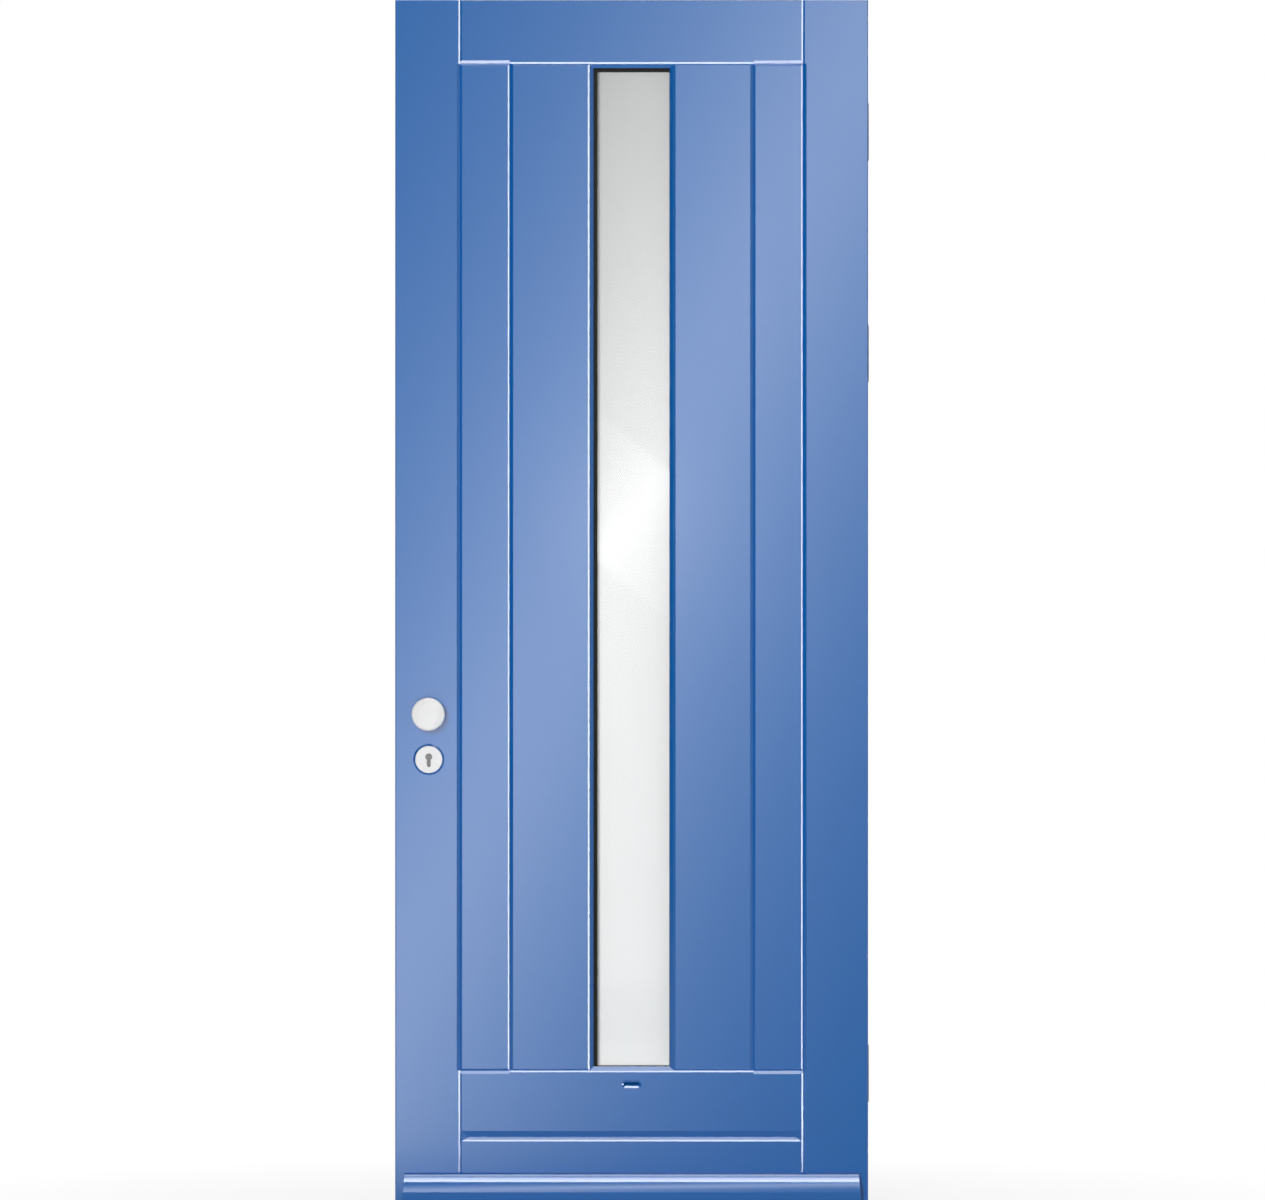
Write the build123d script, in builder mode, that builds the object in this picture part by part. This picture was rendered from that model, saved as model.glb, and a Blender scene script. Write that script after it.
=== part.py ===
from build123d import *
import math
import os

# A boarded timber front door, hung on three butt hinges.
# X runs along the door to the right as seen from outside, Y runs into the house, Z is up.
# The origin lies on the back of the lower hinge's frame plate, where it is screwed to the jamb.

# The door leaf
leaf_width = 830
leaf_height = 2115
leaf_thickness = 54
leaf_arris = 1.5
stile_width = 114
top_rail_width = 112
bottom_rail_width = 236
narrow_board_width = 87
glass_opening_width = 148

# V joints and sunk boards: widths of the slopes and the angles they fall at
bevel_slope = 30
rail_bevel = 3
board_bevel = 3
narrow_board_bevel = 3.4
surround_slope = 38
surround_bevel = 6

# Tongues and grooves
groove_width = 14
groove_depth = 10
tongue_side_clearance = 0.15
tongue_end_clearance = 0.5

# Glazing
bead_width = 7
bead_bevel_depth = 6
bead_edge_flat = 0.5
gasket_thickness = 2
gasket_sight = 7
gasket_setback = 0.5
pane_thickness = 4
pane_gap = 16
pane_edge_clearance = 3
spacer_width = 5

# Stopped V groove across the bottom rail
rail_groove_height = 111.6
rail_groove_upper_slope = 10.7
rail_groove_lower_slope = 7.7
rail_groove_arris = 2.7
rail_groove_depth = 5.6
rail_groove_end_slope = 11.4

# Drain slot under the glass
drain_length = 35
drain_width = 13.5
drain_bevel = 3.8
drain_below_glass = 24
drain_reach = 18
drain_rise = 0.55

# Weatherboard
weatherboard_top = 57
weatherboard_bottom = 5
weatherboard_nose = 24
weatherboard_undercut = 4.5
weatherboard_depth = 26
weatherboard_ledge = 12
weatherboard_ledge_drop = 2.5
weatherboard_inset = 16.5
weatherboard_end_slant = 4
drip_radius = 3.5
drip_from_nose = 11

# Knob and its roses
knob_backset = 59
knob_height = 862
knob_diameter = 58.5
knob_face_diameter = 35
knob_standoff = 17
knob_length = 34
knob_rim_width = 3
knob_rim_drop = 7
knob_ring_drop = 2.2
knob_face_crown = 0.8
knob_neck_diameter = 18
knob_neck_clearance = 0.15
rose_diameter = 50
rose_thickness = 8
rose_round = 3
spindle_size = 8
spindle_clearance = 0.1
spindle_insert = 20
spindle_hole_diameter = 14

# Key escutcheons and cylinder
key_below_knob = 80
escutcheon_diameter = 47.5
escutcheon_thickness = 4.5
escutcheon_round = 1.2
collar_width = 3.4
collar_thickness = 2.6
collar_clearance = 0.1
key_round_diameter = 11.6
key_leg_width = 6.2
key_profile_height = 23.4
key_round_rise = 4.6
key_hole_clearance = 0.2
key_cylinder_proud = 1

# Mortise lock
lock_case_depth = 80
lock_case_thickness = 16
lock_above_knob = 45
lock_below_key = 65
lock_mortise_clearance = 0.5
forend_width = 20
forend_thickness = 3
forend_overhang = 24
forend_setback = 0.2
bolt_clearance = 0.2
latch_width = 12
latch_height = 18
bolt_length = 30
dead_bolt_height = 30
dead_bolt_drop = 12

# Hinge edge, rebated behind a lip that keeps the hinges out of sight from outside
hinge_lip_gap = 2
hinge_lip_thickness = 15

# Butt hinges
hinge_height = 100
hinge_plate_width = 32
hinge_plate_thickness = 3
hinge_gap = 5
knuckle_standoff = 2
knuckle_count = 5
knuckle_end_clearance = 0.3
knuckle_relief = 1.5
pin_radius = 3.2
pin_clearance = 0.05
pin_cap_radius = 4.6
pin_cap_height = 2.5
screw_hole_radius = 2.6
screw_head_radius = 4.4
screw_head_angle = 90
screw_row_spacing = 16
screw_column_spacing = 60
lower_hinge_height = 230
middle_hinge_below_top = 620
upper_hinge_below_top = 230

# Places worked out from the sizes above
half = leaf_thickness / 2
fall = math.tan(math.radians(bevel_slope))
surround_fall = math.tan(math.radians(surround_slope))
surround_depth = surround_bevel * surround_fall
narrow_half = half - surround_depth + narrow_board_bevel * fall
hinge_edge = -hinge_lip_gap
hinge_seat = -(hinge_gap + hinge_plate_thickness)
lock_edge = hinge_edge - leaf_width
lock_face = lock_edge + forend_setback
bottom = -lower_hinge_height
top = bottom + leaf_height
left_joint = lock_edge + stile_width
right_joint = hinge_edge - stile_width
middle = (left_joint + right_joint) / 2
glass_left = middle - glass_opening_width / 2
glass_right = middle + glass_opening_width / 2
left_board_joint = left_joint + narrow_board_width
right_board_joint = right_joint - narrow_board_width
panel_bottom = bottom + bottom_rail_width
panel_top = top - top_rail_width
panel_height = panel_top - panel_bottom
panel_middle = (panel_top + panel_bottom) / 2
tongue_length = groove_depth - tongue_end_clearance
tongue_thickness = groove_width - 2 * tongue_side_clearance
glass_half = pane_gap / 2 + pane_thickness
gasket_half = glass_half + gasket_thickness
bead_half = half - board_bevel * fall
knob_x = lock_edge + knob_backset
knob_z = bottom + knob_height
key_z = knob_z - key_below_knob
lock_top = knob_z + lock_above_knob
lock_bottom = key_z - lock_below_key
lock_middle = (lock_top + lock_bottom) / 2
lock_height = lock_top - lock_bottom
dead_bolt_z = key_z - key_profile_height - dead_bolt_drop
knuckle_radius = hinge_gap / 2 + hinge_plate_thickness
pin_x = hinge_seat + hinge_gap / 2
pin_y = half + knuckle_standoff + knuckle_radius
plate_edge = half - hinge_plate_width
relief_edge = pin_y - knuckle_radius - knuckle_relief
knuckle_pitch = hinge_height / knuckle_count
knuckle_room = 4 * knuckle_radius
hinge_heights = {
    "lower": 0,
    "middle": top - middle_hinge_below_top,
    "upper": top - upper_hinge_below_top,
}

os.makedirs("parts", exist_ok=True)


def save(piece, label):
    """Name a finished piece and write it."""
    piece.part.label = label
    export_step(piece.part, f"parts/{label}.step")


def plan_outline(points, z):
    """A closed outline seen from above, at height z."""
    with BuildSketch(Plane.XY.offset(z)) as outline:
        with BuildLine():
            Polyline(*points, close=True)
        make_face()
    return outline.sketch


def side_outline(points, x):
    """A closed outline of (y, z) points seen from the end of the door, at x."""
    with BuildSketch(Plane.YZ.offset(x)) as outline:
        with BuildLine():
            Polyline(*points, close=True)
        make_face()
    return outline.sketch


def front_outline(points, y):
    """A closed outline of (x, z) points seen from outside, at depth y."""
    with BuildSketch(Plane.XZ.offset(-y)) as outline:
        with BuildLine():
            Polyline(*points, close=True)
        make_face()
    return outline.sketch


def keyhole_outline(grow, y):
    """The round head and narrow leg of the key cylinder, at depth y."""
    leg_drop = key_profile_height - (key_round_diameter + key_leg_width) / 2
    round_z = key_z + key_round_rise
    with BuildSketch(Plane(origin=(knob_x, y, round_z), x_dir=(1, 0, 0), z_dir=(0, -1, 0))) as outline:
        Circle(key_round_diameter / 2 + grow)
        with Locations((0, -leg_drop / 2)):
            Rectangle(key_leg_width + 2 * grow, leg_drop)
        with Locations((0, -leg_drop)):
            Circle(key_leg_width / 2 + grow)
    return outline.sketch


def bevel_upright(edge, away, face_half, width, depth, low, high):
    """Slope both faces down to an upright edge; away points out of the piece along X."""
    for side in (-1, 1):
        face = side * face_half
        wedge = [(edge, face), (edge - away * width, face), (edge, face - side * depth)]
        extrude(plan_outline(wedge, low), amount=high - low, mode=Mode.SUBTRACT)


def bevel_level(edge, away, face_half, width, depth, start, end):
    """Slope both faces down to a level edge; away points out of the piece along Z."""
    for side in (-1, 1):
        face = side * face_half
        wedge = [(face, edge), (face, edge - away * width), (face - side * depth, edge)]
        extrude(side_outline(wedge, start), amount=end - start, mode=Mode.SUBTRACT)


def make_stile(label, outer, inward):
    """A full-height stile: grooved inner edge, V-jointed arris, deeper bevel beside the sunk board."""
    joint = outer + inward * stile_width
    with BuildPart() as stile:
        with Locations(((outer + joint) / 2, 0, (top + bottom) / 2)):
            Box(stile_width, leaf_thickness, leaf_height)
        if inward < 0:
            cut_hinge_rebate()
        for row in (0, -1):
            uprights = stile.edges().filter_by(Axis.Z).group_by(Axis.Y)[row]
            chamfer(uprights.sort_by(Axis.X, reverse=inward > 0)[-1], length=leaf_arris)
        bevel_upright(joint, inward, half, rail_bevel, rail_bevel * fall, bottom, top)
        bevel_upright(joint, inward, half, surround_bevel, surround_depth, panel_bottom, panel_top)
        with Locations((joint - inward * groove_depth / 2, 0, (top + bottom) / 2)):
            Box(groove_depth, groove_width, leaf_height, mode=Mode.SUBTRACT)
        if inward < 0:
            for height in hinge_heights.values():
                with Locations((hinge_seat, plate_edge, height)):
                    Box(
                        hinge_plate_thickness,
                        hinge_plate_width,
                        hinge_height,
                        align=(Align.MAX, Align.MIN, Align.CENTER),
                        mode=Mode.SUBTRACT,
                    )
        else:
            cut_lock_mortise(outer)
            extrude(keyhole_outline(key_hole_clearance, -half), amount=-leaf_thickness, mode=Mode.SUBTRACT)
            with Locations(Location((knob_x, 0, knob_z), (90, 0, 0))):
                Cylinder(spindle_hole_diameter / 2, leaf_thickness, mode=Mode.SUBTRACT)
    save(stile, label)


def cut_hinge_rebate():
    """Cut the hinge edge back behind its lip, down to the seat of the hinge plates."""
    with Locations((hinge_edge, half, (top + bottom) / 2)):
        Box(
            hinge_edge - hinge_seat,
            leaf_thickness - hinge_lip_thickness,
            leaf_height,
            align=(Align.MAX, Align.MAX, Align.CENTER),
            mode=Mode.SUBTRACT,
        )


def cut_lock_mortise(outer):
    """Take the lock case's pocket and the forend's recess out of the lock stile."""
    with Locations((outer, 0, lock_middle)):
        Box(
            lock_case_depth + lock_mortise_clearance,
            lock_case_thickness + 2 * lock_mortise_clearance,
            lock_height + 2 * lock_mortise_clearance,
            align=(Align.MIN, Align.CENTER, Align.CENTER),
            mode=Mode.SUBTRACT,
        )
        Box(
            forend_setback + forend_thickness,
            forend_width,
            lock_height + 2 * forend_overhang,
            align=(Align.MIN, Align.CENTER, Align.CENTER),
            mode=Mode.SUBTRACT,
        )


def make_lock():
    """The lock case with its forend let into the lock edge, and the two bolts drawn back."""
    with BuildPart() as lock_case:
        with Locations((lock_face, 0, lock_middle)):
            Box(
                lock_case_depth,
                lock_case_thickness,
                lock_height,
                align=(Align.MIN, Align.CENTER, Align.CENTER),
            )
            Box(
                forend_thickness,
                forend_width,
                lock_height + 2 * forend_overhang,
                align=(Align.MIN, Align.CENTER, Align.CENTER),
            )
        for bolt_z, bolt_height in ((knob_z, latch_height), (dead_bolt_z, dead_bolt_height)):
            with Locations((lock_face, 0, bolt_z)):
                Box(
                    bolt_length,
                    latch_width + 2 * bolt_clearance,
                    bolt_height + 2 * bolt_clearance,
                    align=(Align.MIN, Align.CENTER, Align.CENTER),
                    mode=Mode.SUBTRACT,
                )
        extrude(keyhole_outline(key_hole_clearance, -half), amount=-leaf_thickness, mode=Mode.SUBTRACT)
        with Locations(Location((knob_x, 0, knob_z), (90, 0, 0))):
            Cylinder(spindle_hole_diameter / 2, leaf_thickness, mode=Mode.SUBTRACT)
    save(lock_case, "lock_case")
    with BuildPart() as latch_bolt:
        with Locations((lock_face, 0, knob_z)):
            Box(bolt_length, latch_width, latch_height, align=(Align.MIN, Align.CENTER, Align.CENTER))
    save(latch_bolt, "latch_bolt")
    with BuildPart() as dead_bolt:
        with Locations((lock_face, 0, dead_bolt_z)):
            Box(bolt_length, latch_width, dead_bolt_height, align=(Align.MIN, Align.CENTER, Align.CENTER))
    save(dead_bolt, "dead_bolt")


def bevel_rail(edge, away, low, high):
    """V-joint slopes at both ends of a rail and along its inner edge."""
    bevel_upright(left_joint, -1, half, rail_bevel, rail_bevel * fall, low, high)
    bevel_upright(right_joint, 1, half, rail_bevel, rail_bevel * fall, low, high)
    bevel_level(edge, away, half, board_bevel, board_bevel * fall, left_joint, right_joint)


def add_rail_tongues(low, high):
    """Tongues on both ends of a rail, which fill the stiles' grooves."""
    for joint, side in ((left_joint, Align.MAX), (right_joint, Align.MIN)):
        with Locations((joint, 0, (low + high) / 2)):
            Box(tongue_length, tongue_thickness, high - low, align=(side, Align.CENTER, Align.CENTER))


def cut_rail_edge(edge, into):
    """Groove a rail's inner edge and bevel it deeply beside each narrow board."""
    run = right_joint - left_joint + 2 * tongue_length
    with Locations((middle, 0, edge + into * groove_depth / 2)):
        Box(run, groove_width, groove_depth, mode=Mode.SUBTRACT)
    for start in (left_joint, right_board_joint):
        bevel_level(edge, -into, half, surround_bevel, surround_depth, start, start + narrow_board_width)


def make_top_rail():
    """The top rail, tongued into the stiles and grooved for the boards."""
    with BuildPart() as rail:
        with Locations((middle, 0, (top + panel_top) / 2)):
            Box(right_joint - left_joint, leaf_thickness, top_rail_width)
        levels = rail.edges().filter_by(Axis.X).sort_by(Axis.Z)
        chamfer(levels[-2:], length=leaf_arris)
        bevel_rail(panel_top, -1, panel_top, top)
        add_rail_tongues(panel_top, top)
        cut_rail_edge(panel_top, 1)
    save(rail, "top_rail")


def make_rail_trough(face):
    """The stopped V groove as a solid: slopes meeting in a line, a flatter lower arris, bevelled ends."""
    low = bottom + rail_groove_height
    deep = low + rail_groove_lower_slope
    high = deep + rail_groove_upper_slope
    inside = face * (1 - rail_groove_depth / half)
    arris = (face * (1 - rail_groove_arris * fall / half), low + rail_groove_arris)
    start = left_joint + rail_bevel
    end = right_joint - rail_bevel
    with BuildPart() as trough:
        extrude(side_outline([(face, low), (face, high), (inside, deep), arris], start), amount=end - start)
        stopped = [
            (start, face),
            (end, face),
            (end - rail_groove_end_slope, inside),
            (start + rail_groove_end_slope, inside),
        ]
        extrude(plan_outline(stopped, low), amount=high - low, mode=Mode.INTERSECT)
    return trough.part


def make_bottom_rail():
    """The deep bottom rail with its stopped V groove on both faces and the drain slot outside."""
    outside_trough = make_rail_trough(-half)
    inside_trough = make_rail_trough(half)
    with BuildPart() as rail:
        with Locations((middle, 0, (bottom + panel_bottom) / 2)):
            Box(right_joint - left_joint, leaf_thickness, bottom_rail_width)
        levels = rail.edges().filter_by(Axis.X).sort_by(Axis.Z)
        chamfer(levels[0:2], length=leaf_arris)
        bevel_rail(panel_bottom, 1, bottom, panel_bottom)
        add_rail_tongues(bottom, panel_bottom)
        cut_rail_edge(panel_bottom, -1)
        add(outside_trough, mode=Mode.SUBTRACT)
        add(inside_trough, mode=Mode.SUBTRACT)
        cut_drain_slot()
    save(rail, "bottom_rail")


def cut_drain_slot():
    """A slot that climbs inwards, its mouth bevelled all round."""
    mouth = Plane(
        origin=(middle, -half, panel_bottom - drain_below_glass),
        x_dir=(1, 0, 0),
        z_dir=(0, -1, 0),
    )
    with BuildSketch(mouth) as rim:
        SlotOverall(drain_length, drain_width)
    with BuildSketch(mouth.offset(-drain_bevel * fall)) as throat:
        SlotOverall(drain_length - 2 * drain_bevel, drain_width - 2 * drain_bevel)
    loft([rim.sketch, throat.sketch], mode=Mode.SUBTRACT)
    extrude(throat.sketch, amount=drain_reach, dir=(0, 1, drain_rise), mode=Mode.SUBTRACT)


def add_end_tongues(low, high):
    """Tongues on the top and bottom of a board, which stand in the rails' grooves."""
    for level, side in ((panel_top, Align.MIN), (panel_bottom, Align.MAX)):
        with Locations(((low + high) / 2, 0, level)):
            Box(high - low, tongue_thickness, tongue_length, align=(Align.CENTER, Align.CENTER, side))


def make_narrow_board(label, joint, inward):
    """A narrow board sunk below the frame, bevelled all round, tongued to the stile side."""
    far = joint + inward * narrow_board_width
    low, high = min(joint, far), max(joint, far)
    with BuildPart() as board:
        with Locations(((joint + far) / 2, 0, panel_middle)):
            Box(narrow_board_width, 2 * narrow_half, panel_height)
        bevel_depth = narrow_board_bevel * fall
        for edge, away in ((low, -1), (high, 1)):
            bevel_upright(edge, away, narrow_half, narrow_board_bevel, bevel_depth, panel_bottom, panel_top)
        for edge, away in ((panel_bottom, -1), (panel_top, 1)):
            bevel_level(edge, away, narrow_half, narrow_board_bevel, bevel_depth, low, high)
        add_end_tongues(low, high)
        with Locations((joint - inward * tongue_length / 2, 0, panel_middle)):
            Box(tongue_length, tongue_thickness, panel_height)
        with Locations((far - inward * groove_depth / 2, 0, panel_middle)):
            Box(groove_depth, groove_width, panel_height + 2 * groove_depth, mode=Mode.SUBTRACT)
    save(board, label)


def make_wide_board(label, joint, inward, opening):
    """A wide board flush with the frame, bevelled to the sunk board and round the glass."""
    low, high = min(joint, opening), max(joint, opening)
    with BuildPart() as board:
        with Locations(((joint + opening) / 2, 0, panel_middle)):
            Box(high - low, leaf_thickness, panel_height)
        bevel_upright(joint, -inward, half, surround_bevel, surround_depth, panel_bottom, panel_top)
        bevel_upright(opening, inward, half, board_bevel, board_bevel * fall, panel_bottom, panel_top)
        for edge, away in ((panel_bottom, -1), (panel_top, 1)):
            bevel_level(edge, away, half, board_bevel, board_bevel * fall, low, high)
        add_end_tongues(low, high)
        with Locations((joint - inward * tongue_length / 2, 0, panel_middle)):
            Box(tongue_length, tongue_thickness, panel_height)
    save(board, label)


def make_bead(label, start, end, face):
    """One mitred glazing bead from corner to corner; its whole front slopes down to the glass."""
    along = Vector(*end) - Vector(*start)
    length = along.length
    turn = Vector(-along.Y, along.X) / length
    step = along / length
    corners = [
        Vector(*start),
        Vector(*end),
        Vector(*end) + (turn - step) * bead_width,
        Vector(*start) + (turn + step) * bead_width,
    ]
    outline = [(corner.X, corner.Y) for corner in corners]
    side = 1 if face > 0 else -1
    with BuildPart() as bead:
        extrude(front_outline(outline, side * gasket_half), amount=-side * (bead_half - gasket_half))
        front = bead.faces().sort_by(Axis.Y)[-1 if face > 0 else 0]
        inner = front.edges().sort_by(lambda edge: edge.center().X * turn.X + edge.center().Z * turn.Y)[-1]
        chamfer(inner, length=bead_width - bead_edge_flat, length2=bead_bevel_depth, reference=front)
    save(bead, label)


def make_glazing():
    """Beads on both faces, two panes on a spacer, and the black gaskets they press on."""
    corners = {
        "bottom": ((glass_left, panel_bottom), (glass_right, panel_bottom)),
        "right": ((glass_right, panel_bottom), (glass_right, panel_top)),
        "top": ((glass_right, panel_top), (glass_left, panel_top)),
        "left": ((glass_left, panel_top), (glass_left, panel_bottom)),
    }
    for place, (start, end) in corners.items():
        make_bead(f"outside_bead_{place}", start, end, -half)
        make_bead(f"inside_bead_{place}", start, end, half)
    pane_width = glass_opening_width - 2 * pane_edge_clearance
    pane_height = panel_height - 2 * pane_edge_clearance
    for label, side in (("outside_pane", -1), ("inside_pane", 1)):
        with BuildPart() as pane:
            with Locations((middle, side * (pane_gap + pane_thickness) / 2, panel_middle)):
                Box(pane_width, pane_thickness, pane_height)
        save(pane, label)
    with BuildPart() as spacer:
        with Locations((middle, 0, panel_middle)):
            Box(pane_width, pane_gap, pane_height)
            Box(pane_width - 2 * spacer_width, pane_gap, pane_height - 2 * spacer_width, mode=Mode.SUBTRACT)
    save(spacer, "glazing_spacer")
    make_gasket("outside_gasket", -1, gasket_sight)
    make_gasket("inside_gasket", 1, -gasket_setback)


def make_gasket(label, side, far_sight):
    """A flat black seal set back behind the beads; far_sight is how much shows at the left and top."""
    left = glass_left + bead_width + far_sight
    right = glass_right - bead_width + gasket_setback
    low = panel_bottom + bead_width - gasket_setback
    high = panel_top - bead_width - far_sight
    with BuildPart() as gasket:
        with Locations((middle, side * (glass_half + gasket_thickness / 2), panel_middle)):
            Box(glass_opening_width, gasket_thickness, panel_height)
        with Locations(((left + right) / 2, side * (glass_half + gasket_thickness / 2), (low + high) / 2)):
            Box(right - left, gasket_thickness, high - low, mode=Mode.SUBTRACT)
    save(gasket, label)


def make_weatherboard():
    """The weatherboard: a short ledge, a round front and a drip groove under it."""
    low = bottom + weatherboard_bottom
    high = bottom + weatherboard_top
    front = -half - weatherboard_depth
    start = lock_edge + weatherboard_inset - weatherboard_end_slant
    end = hinge_edge - weatherboard_inset + weatherboard_end_slant
    with BuildPart() as weatherboard:
        with BuildSketch(Plane.YZ.offset(start)):
            with BuildLine():
                nose = (front, bottom + weatherboard_nose)
                ledge_end = (-half - weatherboard_ledge, high - weatherboard_ledge_drop)
                brow = TangentArc(nose, ledge_end, tangent=(0, 1))
                belly = TangentArc(nose, (front + weatherboard_undercut, low), tangent=(0, -1))
                ledge = Line(brow @ 1, (-half, high))
                back = Line(ledge @ 1, (-half, low))
                Line(back @ 1, belly @ 1)
            make_face()
        extrude(amount=end - start)
        with Locations(Location(((start + end) / 2, front + drip_from_nose, low), (0, 90, 0))):
            Cylinder(drip_radius, end - start, mode=Mode.SUBTRACT)
        ends = [
            (start, low),
            (end, low),
            (end - weatherboard_end_slant, high),
            (start + weatherboard_end_slant, high),
        ]
        extrude(front_outline(ends, -half), amount=weatherboard_depth, mode=Mode.INTERSECT)
    save(weatherboard, "weatherboard")


def make_knob(place, side):
    """A turned knob with its neck, and the rose that the neck turns in."""
    axis = Axis((knob_x, 0, knob_z), (0, 1, 0))
    turning_plane = Plane(origin=(knob_x, side * half, knob_z), x_dir=(1, 0, 0), z_dir=(0, 0, 1))
    back = side * knob_standoff
    front = side * (knob_standoff + knob_length)
    neck = knob_neck_diameter / 2
    body = knob_diameter / 2
    face = knob_face_diameter / 2
    widest = back + side * (body - neck)
    tip = front + side * knob_face_crown
    with BuildPart() as knob:
        with BuildSketch(turning_plane):
            with BuildLine():
                foot = Line((0, 0), (neck, 0))
                stem = Line(foot @ 1, (neck, back))
                flare = TangentArc(stem @ 1, (body, widest), tangent=(1, 0))
                wall = Line(flare @ 1, (body, front - side * knob_rim_drop))
                rim_end = (body - knob_rim_width, front - side * knob_ring_drop)
                rim = TangentArc(wall @ 1, rim_end, tangent=wall % 1)
                ring = Line(rim @ 1, (face, front))
                dome = TangentArc((0, tip), ring @ 1, tangent=(1, 0))
                Line(dome @ 0, (0, 0))
            make_face()
        revolve(axis=axis)
        with Locations((knob_x, side * half, knob_z)):
            Box(
                spindle_size + 2 * spindle_clearance,
                spindle_insert,
                spindle_size + 2 * spindle_clearance,
                align=(Align.CENTER, Align.MIN if side > 0 else Align.MAX, Align.CENTER),
                mode=Mode.SUBTRACT,
            )
    save(knob, f"{place}_knob")
    with BuildPart() as rose:
        with BuildSketch(Plane(origin=(knob_x, side * half, knob_z), x_dir=(1, 0, 0), z_dir=(0, side, 0))):
            Circle(rose_diameter / 2)
            Circle(neck + knob_neck_clearance, mode=Mode.SUBTRACT)
        extrude(amount=rose_thickness)
        circles = rose.edges().filter_by(GeomType.CIRCLE)
        rim = circles.sort_by(lambda edge: (edge.radius, side * edge.center().Y))[-1]
        fillet(rim, radius=rose_round)
    save(rose, f"{place}_rose")


def make_escutcheon(place, side):
    """A round key escutcheon pierced for the cylinder, in a sloped timber collar."""
    with BuildPart() as escutcheon:
        with BuildSketch(Plane(origin=(knob_x, side * half, key_z), x_dir=(1, 0, 0), z_dir=(0, side, 0))):
            Circle(escutcheon_diameter / 2)
        extrude(amount=escutcheon_thickness)
        rim = escutcheon.edges().filter_by(GeomType.CIRCLE).sort_by(Axis.Y)
        fillet(rim[-1 if side > 0 else 0], radius=escutcheon_round)
        extrude(
            keyhole_outline(key_hole_clearance, side * half),
            amount=-side * escutcheon_thickness,
            mode=Mode.SUBTRACT,
        )
    save(escutcheon, f"{place}_escutcheon")
    with BuildPart() as collar:
        inner = escutcheon_diameter / 2 + collar_clearance
        outer = inner + collar_width
        with BuildSketch(Plane(origin=(knob_x, side * half, key_z), x_dir=(1, 0, 0), z_dir=(0, 0, 1))):
            with BuildLine():
                Polyline((inner, 0), (outer, 0), (inner, side * collar_thickness), close=True)
            make_face()
        revolve(axis=Axis((knob_x, 0, key_z), (0, 1, 0)))
    save(collar, f"{place}_key_collar")


def make_key_cylinder():
    """The key cylinder, through the whole leaf and just proud of both escutcheons."""
    reach = half + escutcheon_thickness + key_cylinder_proud
    with BuildPart() as cylinder:
        extrude(keyhole_outline(0, -reach), amount=-2 * reach)
    save(cylinder, "key_cylinder")


def make_spindle():
    """The square spindle that joins the two knobs through the lock."""
    with BuildPart() as spindle:
        with Locations((knob_x, 0, knob_z)):
            Box(spindle_size, leaf_thickness + 2 * spindle_insert, spindle_size)
    save(spindle, "knob_spindle")


def make_hinge_leaf(label, height, plate_side, own_knuckles):
    """One hinge leaf: a flat plate wrapped round the pin in every other knuckle."""
    low = height - hinge_height / 2
    if plate_side > 0:
        plate_outer = 0
    else:
        plate_outer = hinge_seat - hinge_plate_thickness
    plate_middle = plate_outer - plate_side * hinge_plate_thickness / 2
    with BuildPart() as leaf:
        with BuildSketch(Plane.XY.offset(low)):
            with Locations((plate_middle, plate_edge)):
                Rectangle(hinge_plate_thickness, pin_y - plate_edge, align=(Align.CENTER, Align.MIN))
            with Locations((pin_x, pin_y)):
                Circle(knuckle_radius)
                Circle(pin_radius + pin_clearance, mode=Mode.SUBTRACT)
        extrude(amount=hinge_height)
        for number in range(knuckle_count):
            if number % 2 == own_knuckles:
                continue
            with Locations((pin_x, relief_edge, low + number * knuckle_pitch - knuckle_end_clearance)):
                Box(
                    knuckle_room,
                    knuckle_room,
                    knuckle_pitch + 2 * knuckle_end_clearance,
                    align=(Align.CENTER, Align.MIN, Align.MIN),
                    mode=Mode.SUBTRACT,
                )
        plate_inner = plate_outer - plate_side * hinge_plate_thickness
        screw_face = Plane(
            origin=(plate_inner, plate_edge + hinge_plate_width / 2, height),
            x_dir=(0, 1, 0),
            z_dir=(-plate_side, 0, 0),
        )
        with Locations(screw_face):
            with GridLocations(screw_row_spacing, screw_column_spacing, 2, 2):
                CounterSinkHole(
                    screw_hole_radius,
                    screw_head_radius,
                    depth=hinge_plate_thickness,
                    counter_sink_angle=screw_head_angle,
                )
    save(leaf, label)


def make_hinge(place, height):
    """A butt hinge: frame leaf, door leaf and the capped pin through their knuckles."""
    make_hinge_leaf(f"{place}_hinge_frame_leaf", height, 1, 0)
    make_hinge_leaf(f"{place}_hinge_door_leaf", height, -1, 1)
    with BuildPart() as pin:
        with Locations((pin_x, pin_y, height)):
            Cylinder(pin_radius, hinge_height)
        for end, side in ((height + hinge_height / 2, Align.MIN), (height - hinge_height / 2, Align.MAX)):
            with Locations((pin_x, pin_y, end)):
                Cylinder(pin_cap_radius, pin_cap_height, align=(Align.CENTER, Align.CENTER, side))
    save(pin, f"{place}_hinge_pin")


make_stile("lock_stile", lock_edge, 1)
make_stile("hinge_stile", hinge_edge, -1)
make_top_rail()
make_bottom_rail()
make_narrow_board("left_narrow_board", left_joint, 1)
make_narrow_board("right_narrow_board", right_joint, -1)
make_wide_board("left_wide_board", left_board_joint, 1, glass_left)
make_wide_board("right_wide_board", right_board_joint, -1, glass_right)
make_glazing()
make_weatherboard()
make_lock()
for knob_place, knob_side in (("outside", -1), ("inside", 1)):
    make_knob(knob_place, knob_side)
    make_escutcheon(knob_place, knob_side)
make_spindle()
make_key_cylinder()
for hinge_place, hinge_z in hinge_heights.items():
    make_hinge(hinge_place, hinge_z)
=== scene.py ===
import math

import bmesh
import bpy
from mathutils import Matrix, Vector


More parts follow.
